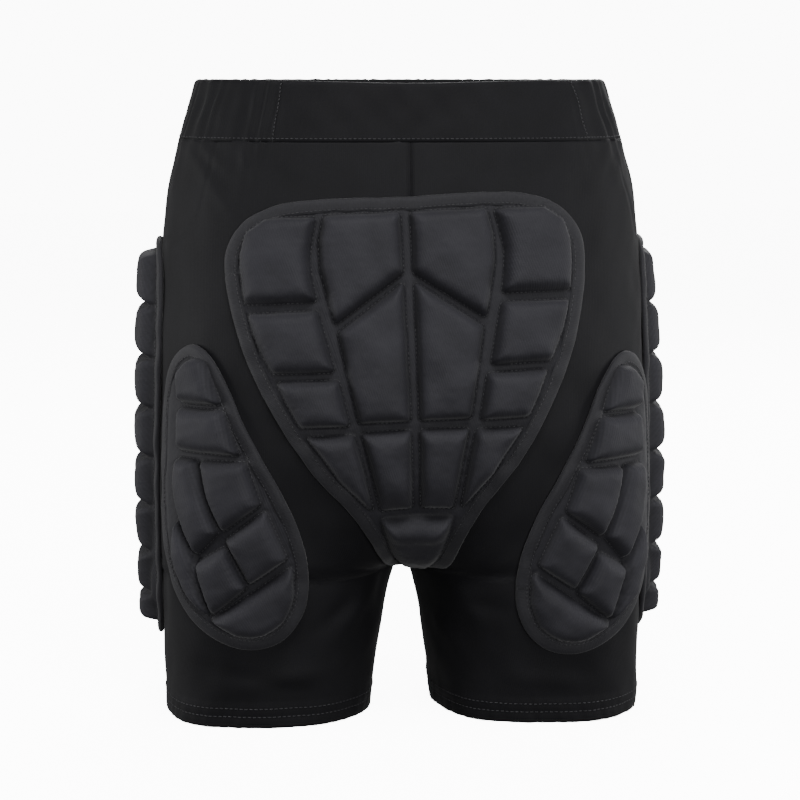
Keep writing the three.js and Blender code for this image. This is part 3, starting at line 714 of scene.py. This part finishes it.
def add_waistband():
    """The flat back, the gathered casing, their stitches and the elastic inside."""
    angles, low, high = band_ring()
    ends = back_columns(angles, high)
    add_band_covers(angles, low, high, *ends)
    add_band_stitches(angles, low, high, *ends)
    add_elastic(angles, low, high)


# ---------------------------------------------------------------- stitches

def resampled(line, outward, pitch, closed):
    """Evenly spaced places, ways along and ways out on a line."""
    if closed:
        line, outward = np.vstack([line, line[:1]]), np.vstack([outward, outward[:1]])
    run = np.hstack([0, np.cumsum(np.linalg.norm(np.diff(line, axis=0), axis=1))])
    count = max(int(run[-1] / pitch), 1)
    wanted = (np.arange(count) + 0.5) * run[-1] / count
    place = np.stack([np.interp(wanted, run, line[:, k]) for k in range(3)], axis=1)
    ahead = np.stack([np.interp(wanted + 0.3 * pitch, run, line[:, k]) for k in range(3)], axis=1)
    back = np.stack([np.interp(wanted - 0.3 * pitch, run, line[:, k]) for k in range(3)], axis=1)
    out = unit(np.stack([np.interp(wanted, run, outward[:, k]) for k in range(3)], axis=1))
    way = unit(ahead - back)
    return place, way, out


BEAD_STEPS = ((-0.5, 0.15), (-0.36, 0.8), (0.0, 1.0), (0.36, 0.8), (0.5, 0.15))
BEAD_SIDES = 6


def stitches(name, lines, pitch, length, radius):
    """Rows of stitches: each is a short length of thread that dips at both ends."""
    points, faces, weave = [], [], []
    for line, outward, closed in lines:
        for p, way, out in zip(*resampled(np.asarray(line), np.asarray(outward), pitch, closed)):
            side = np.cross(way, out)
            base = len(points)
            for share, wide in BEAD_STEPS:
                middle = p + way * share * length - out * radius * (1.6 * abs(share) ** 2)
                for k in range(BEAD_SIDES):
                    turn = 2 * math.pi * k / BEAD_SIDES
                    points.append(middle + radius * wide * (side * math.cos(turn)
                                                            + out * math.sin(turn)))
                    weave.append((share * length, turn * radius))
            rings = len(BEAD_STEPS)
            faces += [tuple(base + i for i in quad)
                      for quad in grid_faces(rings, BEAD_SIDES, wrap=True).tolist()]
            faces.append(tuple(base + k for k in reversed(range(BEAD_SIDES))))
            faces.append(tuple(base + (rings - 1) * BEAD_SIDES + k for k in range(BEAD_SIDES)))
    return piece(name, points, faces, THREAD, weave)


# ---------------------------------------------------------------- the shells, with each piece baked in place


def blend_to_leg(made):
    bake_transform(made)


def add_shell(side, sign):
    """One side of the stretch shell, from waist seam to hem, and its hem stitches."""
    steps = np.linalg.norm(np.diff(body_points, axis=1), axis=2)
    arc = np.hstack([np.zeros((len(steps), 1)), np.cumsum(steps, axis=1)])
    relief = shell_relief(body_points, sign, arc)
    outer = body_points + body_normals * relief[..., None]
    inner = body_points + body_normals * (relief * 0.6 - SHELL_THICK)[..., None]
    closed = body_heights <= CROTCH_Z + 0.1 * MM
    for layer in (outer, inner):
        layer[..., 0] = np.maximum(layer[..., 0], 0.12 * MM)
        layer[~closed, 0, 0] = layer[~closed, -1, 0] = 0
        layer[closed, 0] = (layer[closed, -1] + layer[closed, 0]) / 2
    shown = np.ones((outer.shape[0] - 1, outer.shape[1] - 1), bool)
    points, faces, used = closed_skin(outer, inner, shown, closed)
    points, faces = mirrored(points, faces, sign)
    weave = np.stack([arc, body_points[..., 2]], axis=-1).reshape(-1, 2)[used]
    made = piece("shell_" + side, points, faces, SHELL_CLOTH,
                 np.vstack([weave, weave]),
                 flat_from=2 * (outer.shape[0] - 1) * (outer.shape[1] - 1))
    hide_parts("shell_leg_" + side, "shell_hip_" + side)
    blend_to_leg(made)
    rows = []
    for height in HEM_ROWS:
        k = int(abs(body_heights - height).argmin())
        rows.append((outer[k, :-1] * (sign, 1, 1) + body_normals[k, :-1] * (sign, 1, 1) * 0.2 * MM,
                     body_normals[k, :-1] * (sign, 1, 1), True))
    made = stitches("hem_stitches_" + side, rows, **HEM_STITCH)
    blend_to_leg(made)


# ---------------------------------------------------------------- pads

def node_outline(name, chart, sign):
    """The outline of a CAD pad solid where it faces the body, as a loop of flat coordinates."""
    corners, triangles = node_solid(name)
    corners = corners * (sign, 1, 1)
    a, b = chart.flat(corners)
    body_way = chart.at(a, b, 1.0) - chart.at(a, b)
    three = corners[triangles]
    faces_way = unit(np.cross(three[:, 1] - three[:, 0], three[:, 2] - three[:, 0])) * sign
    under = (faces_way * unit(body_way[triangles].mean(axis=1))).sum(axis=1) < -0.6
    cap = triangles[under]
    sides = np.vstack([cap[:, [k, (k + 1) % 3]] for k in range(3)])
    pairs = set(map(tuple, sides.tolist()))
    following = {p: q for p, q in pairs if (q, p) not in pairs}
    loops = []
    while following:
        loop = [min(following)]
        while loop[-1] in following:
            loop.append(following.pop(loop[-1]))
        loops.append(loop[:-1])
    loop = max(loops, key=len)
    return np.stack([a[loop], b[loop]], axis=1)


def loop_points(loop, pitch):
    """A closed loop at an even pitch."""
    loop = np.vstack([loop, loop[:1]])
    run = np.hstack([0, np.cumsum(np.linalg.norm(np.diff(loop, axis=0), axis=1))])
    count = max(int(round(run[-1] / pitch)), 8)
    wanted = np.arange(count) * run[-1] / count
    return np.stack([np.interp(wanted, run, loop[:, k]) for k in range(2)], axis=1)


def loop_length(loop):
    return float(np.linalg.norm(np.roll(loop, -1, axis=0) - loop, axis=1).sum())


def rounded(loop, size):
    """A closed loop at 1 mm pitch with its corners eased over about size."""
    loop = loop_points(loop, 1 * MM)
    for _ in range(max(int((size / (1 * MM)) ** 2 * 1.2), 1)):
        loop = 0.5 * loop + 0.25 * (np.roll(loop, 1, axis=0) + np.roll(loop, -1, axis=0))
    return loop_points(loop, 1.5 * MM)


def inside_distance(a, b, loop):
    """Distance of places to a loop, positive inside, and how far round the nearest point is."""
    x, y = a.ravel(), b.ravel()
    best = np.full(x.shape, 9.0)
    place = np.zeros(x.shape)
    crossings = np.zeros(x.shape, int)
    following = np.roll(loop, -1, axis=0)
    run = 0.0
    for (x0, y0), (x1, y1) in zip(loop, following):
        dx, dy = x1 - x0, y1 - y0
        long = math.hypot(dx, dy)
        t = np.clip(((x - x0) * dx + (y - y0) * dy) / (long * long), 0, 1)
        away = np.hypot(x - x0 - t * dx, y - y0 - t * dy)
        place = np.where(away < best, run + t * long, place)
        best = np.minimum(best, away)
        if y0 != y1:
            between = (y0 > y) != (y1 > y)
            crossings += between & (x < x0 + (y - y0) * dx / dy)
        run += long
    best = np.where(crossings % 2 == 1, best, -best)
    return best.reshape(a.shape), place.reshape(a.shape)


def loop_ways(loop):
    """The inward way at each point of a loop."""
    along = np.roll(loop, -1, axis=0) - np.roll(loop, 1, axis=0)
    along = along / np.linalg.norm(along, axis=1, keepdims=True)
    area = 0.5 * np.sum(loop[:, 0] * np.roll(loop[:, 1], -1) - loop[:, 1] * np.roll(loop[:, 0], -1))
    inward = np.stack([-along[:, 1], along[:, 0]], axis=1)
    return inward if area > 0 else -inward


CHANNEL_LIFT = 3.4 * MM
SHOULDER = 9 * MM
CROWN = 2.1 * MM
PUCKER = 0.26 * MM
SEAM_DEPTH = 0.9 * MM
# each pad's own make: how far the cloth of a cell reaches past its foam, how high the foam
# stands, and how high the grooves between the cells lie
SEAT_MAKE = {"outset": 0.6 * MM, "rise": 8.8 * MM, "groove": 4.0 * MM}
THIGH_MAKE = {"outset": 1.3 * MM, "rise": 8.2 * MM, "groove": 4.0 * MM}
SIDE_MAKE = {"outset": 1.8 * MM, "rise": 11.5 * MM, "groove": 8.5 * MM}
PAD_STEP = 1.3 * MM
PAD_STITCH = {"pitch": 3.0 * MM, "length": 2.1 * MM, "radius": 0.32 * MM}


def cell_lift(a, b, loop, seed, rise, outset):
    """How far a padded cell stands above the channels, its puckers and the seam round it."""
    depth, place = inside_distance(a, b, loop)
    depth = depth + outset
    deepest = max(depth.max(), 1 * MM)
    shoulder = min(SHOULDER, 0.7 * deepest)
    t = np.clip(depth / shoulder, 0, 1)
    round_up = np.clip(1 - (1 - t) ** 2.6, 0, 1) ** 0.5
    crown = CROWN * (1 - (1 - np.clip(depth / deepest, 0, 1)) ** 2)
    around = loop_length(loop)
    folds = max(round(around / (3.6 * MM)), 3)
    turn = 2 * math.pi * place / around
    draw = np.random.default_rng(seed)
    drift = draw.uniform(0.5, 1.2) * np.sin(3 * turn + draw.uniform(0, 6)) \
        + draw.uniform(0.4, 1.0) * np.sin(7 * turn + draw.uniform(0, 6))
    strength = 0.6 + 0.4 * np.sin(5 * turn + draw.uniform(0, 6)) * np.sin(2 * turn + 1)
    pucker = np.sin(folds * turn + drift) * strength \
        * np.exp(-((depth - 3 * MM) / (3.0 * MM)) ** 2) * (depth > 0)
    seam = np.exp(-((depth + 0.5 * MM) / (1.1 * MM)) ** 2)
    return (rise * round_up + crown) * (depth > 0), pucker, seam


def blurred(table, times):
    for _ in range(times):
        padded = np.pad(table, 1, mode="edge")
        table = (padded[1:-1, 1:-1] * 4 + padded[:-2, 1:-1] * 2 + padded[2:, 1:-1] * 2
                 + padded[1:-1, :-2] * 2 + padded[1:-1, 2:] * 2 + padded[:-2, :-2]
                 + padded[2:, 2:] + padded[:-2, 2:] + padded[2:, :-2]) / 16
    return table


def quilt(chart, edge, cells, seed, make, squash):
    """A pad's cover: cells of foam under one cloth, stitched down along the channels between, with
    painted shade darkening the channels and the seams.
    """
    low, high = edge.min(axis=0) - 2 * PAD_STEP, edge.max(axis=0) + 2 * PAD_STEP
    a, b = np.meshgrid(np.arange(low[0], high[0], PAD_STEP), np.arange(low[1], high[1], PAD_STEP),
                       indexing="ij")
    inside, _ = inside_distance(a, b, edge)
    lift = np.zeros(a.shape)
    pucker = np.zeros(a.shape)
    seam = np.zeros(a.shape)
    for k, cell in enumerate(cells):
        height, fold, line = cell_lift(a, b, cell, seed * 100 + k, make["rise"], make["outset"])
        lift = np.maximum(lift, height)
        seam = np.maximum(seam, line)
        pucker = pucker + fold
    swell = 0.4 * MM * waver(a, b, 30 * MM, seed) * np.clip(lift / make["rise"], 0, 1)
    # the channels rise to the grooves' height a little way in from the bound edge
    floor = (make["groove"] - CHANNEL_LIFT) * smooth(inside, 7.5 * MM, 13 * MM)
    # painted shade: the cloth is darker down in the channels between the cells
    sewing_and_painted_shade = 0.45 - 0.45 * smooth(lift, floor, floor + 0.45 * (make["rise"] - floor))
    lift = np.maximum(lift, floor) * (1 - squash(b))
    lift = blurred(lift, 1) + swell + PUCKER * pucker - SEAM_DEPTH * seam
    # painted shade: darker again along the seam round each cell
    sewing_and_painted_shade = np.clip(sewing_and_painted_shade + 0.8 * seam, 0, 1)
    lift += CHANNEL_LIFT + 0.08 * MM * waver(a, b, 7 * MM, seed + 1)
    keep = inside > 1.2 * MM
    shown = keep[:-1, :-1] & keep[1:, :-1] & keep[:-1, 1:] & keep[1:, 1:]
    outer, inner = chart.at(a, b, lift), chart.at(a, b, 0.5 * MM)
    points, faces, used = closed_skin(outer, inner, shown)
    # the weave's third number carries the painted shade of the channels and seams
    weave = np.stack([a, b, sewing_and_painted_shade], axis=-1).reshape(-1, 3)[used]
    return points, faces, np.vstack([weave, weave])


def tape(chart, edge, seed):
    """A bound edge: a flat tape folded over the pad's rim. Corners, faces and the weave."""
    line = loop_points(edge, 2.2 * MM)
    inward = loop_ways(line)
    count = len(line)
    run = np.arange(count) * 2.2 * MM
    wave = 0.35 * MM * waver(run, 0 * run, 24 * MM, seed)
    section = [(0.4, 0.3), (-0.9, 0.9), (-1.3, 2.0), (-0.9, 3.2), (0.3, 4.0), (2.5, 4.3), (5.0, 4.1),
               (6.6, 3.9), (7.6, 3.6), (8.1, 3.0), (7.9, 2.2), (7.0, 1.6)]
    grid = []
    for reach, lift in section:
        place = line + inward * (reach * MM + 0.3 * wave[:, None])
        grid.append(chart.at(place[:, 0], place[:, 1], lift * MM + wave * (lift > 2)))
    grid = np.array(grid)
    rows = len(section)
    faces = grid_faces(rows, count, wrap=True).tolist()
    faces += [[j, (j + 1) % count, (rows - 1) * count + (j + 1) % count, (rows - 1) * count + j][::-1]
              for j in range(count)]
    weave = np.stack([np.broadcast_to(run, (rows, count)),
                      np.broadcast_to(np.arange(rows)[:, None] * MM, (rows, count))], axis=-1)
    return grid.reshape(-1, 3), faces, weave.reshape(-1, 2)


def seam_line(chart, sign, loop, inset, lift):
    """A stitch row beside a loop, inset from it."""
    place = loop + loop_ways(loop) * inset
    line = chart.at(place[:, 0], place[:, 1], lift)
    out = unit(chart.at(place[:, 0], place[:, 1], lift + 1 * MM) - line)
    return line * (sign, 1, 1), out * (sign, 1, 1), True


def outward_faces(faces, chart, sign):
    """Turn the faces over where the chart's two ways run left-handed on the body."""
    left_handed = (chart is leg) != (sign < 0)
    return [f[::-1] for f in faces] if left_handed else faces


TAIL_TOP = CROTCH_Z + 55.5 * MM  # the channel above the seat pad's tail cell


def even(b):
    return 0 * b


def thin_tail(b):
    """The seat pad thins out where it turns under; its tail stands proud of the cells above it."""
    under = 1 - smooth(b, CROTCH_Z - 15 * MM, CROTCH_Z + 32 * MM)
    proud = smooth(b, CROTCH_Z + 36 * MM, CROTCH_Z + 46 * MM) * (b < TAIL_TOP)
    above = (b > TAIL_TOP) * (1 - smooth(b, TAIL_TOP, TAIL_TOP + 24 * MM))
    return 0.5 * under - 0.3 * proud + 0.45 * above


def flat_top(b):
    """The right side pad lies flatter towards its top."""
    return 0.45 * smooth(b, CROTCH_Z + 58 * MM, CROTCH_Z + 228 * MM)


def add_pad(label, chart, sign, backing, blocks, seed, ride, make, squash=even):
    """A whole pad: cover, bound edge and stitches. squash flattens it by a share at each height."""
    edge = rounded(node_outline(backing, chart, sign), 5 * MM)
    cells = [rounded(node_outline(block, chart, sign), 1.2 * MM) for block in blocks]
    points, faces, weave = quilt(chart, edge, cells, seed, make, squash)
    points = points * (sign, 1, 1)
    faces = outward_faces(faces, chart, sign)
    cover = piece(label + "_cover", points, faces, PAD_CLOTH, weave)
    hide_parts(backing, *blocks)
    points, faces, weave = tape(chart, edge, seed + 7)
    faces = outward_faces(faces, chart, sign)
    bound = piece(label + "_binding", points * (sign, 1, 1), faces, TAPE, weave)
    rows = [seam_line(chart, sign, loop_points(edge, 2 * MM), 6.2 * MM, 4.15 * MM)]
    if make is not SIDE_MAKE:
        for cell in cells:
            rows.append(seam_line(chart, sign, cell, -make["outset"] - 0.4 * MM,
                                  make["groove"] + 0.25 * MM))
    sewing_and_painted_shade = stitches(label + "_stitches", rows, **PAD_STITCH)
    for made in (cover, bound, sewing_and_painted_shade):
        ride(made)


def add_pads():
    names = sorted(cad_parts)
    add_pad("seat_pad", seat, 1, "seat_pad_backing", [n for n in names if n.startswith("seat_block")],
            seed=11, ride=lambda made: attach(made, "hips"), make=SEAT_MAKE, squash=thin_tail)
    for side, sign in SIDES:
        def to_leg(made):
            blend_to_leg(made)
        add_pad("thigh_pad_" + side, leg, sign, "thigh_pad_backing_" + side,
                [n for n in names if n.startswith("thigh_block") and n.endswith(side)],
                seed=20 + sign, ride=to_leg, make=THIGH_MAKE)
        add_pad("side_pad_" + side, leg, sign, "side_pad_backing_" + side,
                [n for n in names if n.startswith("side_block") and n.endswith(side)],
                seed=30 + sign, ride=to_leg, make=SIDE_MAKE,
                squash=flat_top if side == "right" else even)


# ---------------------------------------------------------------- light and camera

def add_light(name, place, target, size, power):
    """A soft box at a place, turned to a target."""
    light = bpy.data.lights.new(name, "AREA")
    light.shape = "RECTANGLE"
    light.size, light.size_y = size
    light.energy = power
    made = bpy.data.objects.new(name, light)
    made.location = place
    made.rotation_euler = (Vector(target) - Vector(place)).to_track_quat("-Z", "Y").to_euler()
    bpy.context.scene.collection.objects.link(made)


AMBIENT = 0.26  # the soft light from all round
BACKDROP = 11.0  # how bright the pale backdrop looks


def add_studio():
    """The pale floor, the pale backdrop and the soft lights."""
    floor = bpy.data.meshes.new("floor")
    far = 6.0
    floor.from_pydata([(-far, -far, -1 * MM), (far, -far, -1 * MM), (far, far, -1 * MM),
                       (-far, far, -1 * MM)], [], [(0, 1, 2, 3)])
    paper = Finish("pale_paper", Specular_IOR_Level=0.1, Emission_Color=(1, 1, 1, 1),
                   Emission_Strength=10.5)
    place = paper.node("ShaderNodeTexCoord", None, None, out=3)
    grain = paper.noise(place, 40.0)
    floor.materials.append(paper.surface(
        paper.mix(grain, (0.86, 0.86, 0.87, 1), (0.9, 0.9, 0.905, 1)), 0.9 - grain * 0.05,
        grain, 0.05 * MM))
    made = bpy.data.objects.new("floor", floor)
    made.visible_diffuse = made.visible_glossy = False  # the dark cloth takes no light from it
    bpy.context.scene.collection.objects.link(made)

    world = bpy.data.worlds.new("studio")
    world.use_nodes = True
    sky = world.node_tree.nodes["Background"]
    sky.inputs["Color"].default_value = (1, 1, 1, 1)
    seen = world.node_tree.nodes.new("ShaderNodeLightPath")
    level = world.node_tree.nodes.new("ShaderNodeMapRange")
    level.inputs["To Min"].default_value = AMBIENT
    level.inputs["To Max"].default_value = BACKDROP
    world.node_tree.links.new(seen.outputs["Is Camera Ray"], level.inputs["Value"])
    world.node_tree.links.new(level.outputs["Result"], sky.inputs["Strength"])
    bpy.context.scene.world = world
    middle = (0, 0, 0.22)
    add_light("overhead", (0.05, -1.0, 1.9), middle, (1.2, 0.6), 62)
    add_light("low_fill", (0.4, -2.2, 0.5), (0, 0, 0.1), (1.2, 0.6), 62)
    add_light("far_side", (0.5, 1.6, 1.6), middle, (1.4, 1.0), 52)
    add_light("rim_left", (-1.5, -0.1, 0.3), (0, 0, 0.12), (0.6, 0.8), 30)
    add_light("rim_right", (1.5, -0.1, 0.3), (0, 0, 0.12), (0.6, 0.8), 24)


CAMERA_FAR = 1.6
CAMERA_ROUND = math.radians(-4)
CAMERA_AIM = (0.0, SIDE_Y, 0.2135)
FIELD = 0.5677  # width of the view at the aim


def add_camera():
    """The camera, level with the waist behind the wearer and looking a little down."""
    camera = bpy.data.cameras.new("camera")
    made = bpy.data.objects.new("camera", camera)
    aim = Vector(CAMERA_AIM)
    place = aim + Vector((CAMERA_FAR * math.sin(CAMERA_ROUND), -CAMERA_FAR * math.cos(CAMERA_ROUND),
                          TOP_Z - aim.z))
    made.location = place
    made.rotation_euler = (aim - place).to_track_quat("-Z", "Y").to_euler()
    camera.sensor_width = 36
    camera.lens = 36 * (aim - place).length / FIELD
    bpy.context.scene.collection.objects.link(made)
    bpy.context.scene.camera = made


add_camera()
add_studio()
for side, sign in SIDES:
    add_shell(side, sign)
add_waistband()
add_pads()
